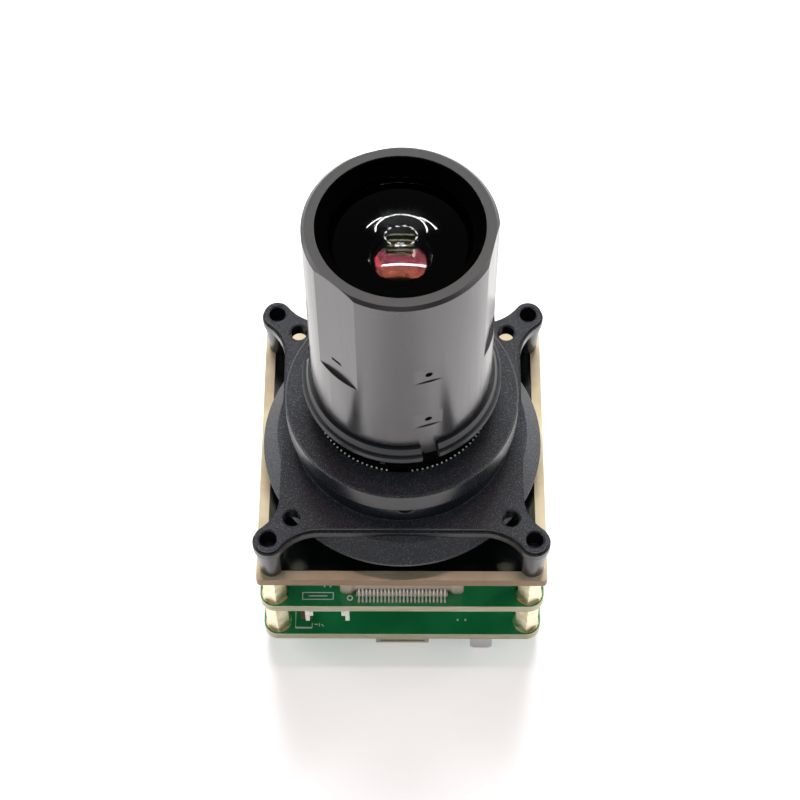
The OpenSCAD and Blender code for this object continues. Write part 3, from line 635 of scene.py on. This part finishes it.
def set_floor():
    """White sweep. The camera and shiny surfaces see it lifted to white, and it keeps the shadow; the lift is
    weaker near the part, a painted shade round it.
    """
    bm = bmesh.new()
    bmesh.ops.create_grid(bm, x_segments=2, y_segments=2, size=FLOOR_HALF)
    mesh = bpy.data.meshes.new("floor")
    bm.to_mesh(mesh)
    bm.free()
    floor = bpy.data.objects.new("floor", mesh)
    scene.collection.objects.link(floor)
    material, surface, output = new_material("white_paper_sweep", 0.9, "#fbfbfc", Specular_IOR_Level=0.0)
    fibre = grain(material, 0.4, detail=2)
    set_input(material, surface, "Base Color", blend(material, fibre, "#f6f6f8", "#ffffff"))
    ray = add(material, "LightPath")
    camera_ray, mirror_ray, glass_ray = (
        ray.outputs[f"Is {kind} Ray"] for kind in ("Camera", "Glossy", "Transmission"))
    seen = add(material, "Math", {0: camera_ray, 1: mirror_ray}, operation="MAXIMUM")
    seen = add(material, "Math", {0: seen.outputs[0], 1: glass_ray}, operation="MAXIMUM")
    # painted shade: the lift is 0.35 within 0.1 m of the centre and full beyond 0.6 m, so the floor round the
    # part is darker
    away = add(material, "VectorMath", {0: place(material)}, operation="LENGTH").outputs["Value"]
    lift_with_painted_shade = spread(material, away, 0.1, 0.6, 0.35, 1.0)
    lift = add(material, "Math", {0: seen.outputs[0], 1: lift_with_painted_shade}, operation="MULTIPLY")
    glow = add(material, "Emission", {"Color": colour("#fffffb"), "Strength": lift.outputs[0]})
    both = add(material, "AddShader", {0: surface.outputs["BSDF"], 1: glow.outputs["Emission"]})
    material.node_tree.links.new(both.outputs["Shader"], output.inputs["Surface"])
    mesh.materials.append(material)


def set_world(strength):
    """A dim room that keeps the glass dark, seen as white behind the part."""
    world = bpy.data.worlds.new("studio")
    world.use_nodes = True
    world.node_tree.nodes.clear()
    seen = add(world, "LightPath").outputs["Is Camera Ray"]
    level = add(world, "MapRange", {"Value": seen, "To Min": strength, "To Max": 1.0}).outputs["Result"]
    background = add(world, "Background", {"Color": colour("#f8f9ff"), "Strength": level})
    add(world, "OutputWorld", {"Surface": background.outputs["Background"]})
    scene.world = world


def lamp(name, at, size, power, aim=(0, 0, 0.04), roll=0.0, tint="#ffffff", mirrored=True):
    """An area lamp at a point, turned towards the part. Its long side lies at the bearing roll.
    One that isn't mirrored lights the part but doesn't show in the glass."""
    data = bpy.data.lights.new(name, "AREA")
    data.shape = "RECTANGLE"
    data.size, data.size_y = size
    data.energy = power
    data.color = colour(tint)[:3]
    thing = bpy.data.objects.new(name, data)
    thing.visible_glossy = mirrored
    scene.collection.objects.link(thing)
    back = (Vector(at) - Vector(aim)).normalized()
    side = Vector((math.cos(roll), math.sin(roll), 0))
    side = (side - back * side.dot(back)).normalized()
    turn = Matrix((side, back.cross(side), back)).transposed()
    thing.matrix_world = Matrix.Translation(at) @ turn.to_4x4()


# The room above the lens: a hoop of tubes, a smaller hoop inside it, a ring of small lamps and a bar.
# All hang on one level. Places are shares of that height, sideways and to the back.
ROOM_HEIGHT = 0.6
TUBE_LIGHT = 45


def hang(name, x, y, length, width, roll, light, tint="#ffffff"):
    at = LENS_TOP + Vector((x, y, 1)) * ROOM_HEIGHT
    size = (length * ROOM_HEIGHT, width * ROOM_HEIGHT)
    lamp(name, at, size, light * math.pi * size[0] * size[1], aim=LENS_TOP, roll=roll, tint=tint)


def hoop(name, centre_y, radius, first, last, count, width, light, gap=1.0, centre_x=0.0):
    """Lamps along an arc, between two bearings counted from the right."""
    step = (last - first) / count
    for k in range(count):
        a = math.radians(first + step * (k + 0.5))
        length = radius * math.radians(abs(step)) * gap
        hang(f"{name}_{k}", centre_x + radius * math.cos(a), centre_y + radius * math.sin(a), length, width,
             a + math.pi / 2, light)


set_floor()
set_world(0.05)
hoop("outer_tube_right", centre_y=0.53, radius=0.52, first=27, last=62, count=5, width=0.016,
     light=TUBE_LIGHT)
hoop("outer_tube_left", centre_y=0.53, radius=0.52, first=120, last=148, count=4, width=0.016,
     light=TUBE_LIGHT)
hoop("inner_tube", centre_y=0.72, radius=0.32, first=-8, last=188, count=14, width=0.014,
     light=TUBE_LIGHT)
hoop("small_lamp", centre_y=0.56, radius=0.19, first=0, last=360, count=12, width=0.014,
     light=TUBE_LIGHT / 2, gap=0.5)
hang("bar", 0.035, 0.115, 0.51, 0.025, 0.0, TUBE_LIGHT, tint="#ffdce0")
hang("side_strip", 0.15, 0.27, 0.03, 0.1, 0.0, TUBE_LIGHT / 4, tint="#ffd8cc")
hang("corner_patch", -0.27, 0.17, 0.05, 0.14, 0.25, TUBE_LIGHT / 8, tint="#ff4060")
for k, (back, strength) in enumerate(((0.56, 0.12), (0.46, 0.16), (0.38, 0.1), (0.31, 0.1), (0.25, 0.08))):
    hang(f"shelf_{k}", 0.0, back, 0.3, 0.02, 0.0, TUBE_LIGHT * strength, tint="#d6e0a8")
lamp("key_softbox", (0.0, 0.6, 0.8), (0.35, 0.35), 7.5, mirrored=False)
lamp("front_softbox", (0.0, -0.6, 0.85), (0.6, 0.5), 1.0)
lamp("left_softbox", (-0.6, -0.1, 0.2), (0.5, 0.5), 1.0)
lamp("right_softbox", (0.6, -0.1, 0.2), (0.5, 0.5), 0.8)
lamp("back_left_softbox", (-0.85, 0.3, 0.42), (0.4, 0.4), 2.0)
lamp("back_right_softbox", (0.85, 0.3, 0.42), (0.4, 0.4), 2.0)

scene.view_settings.view_transform = "Standard"
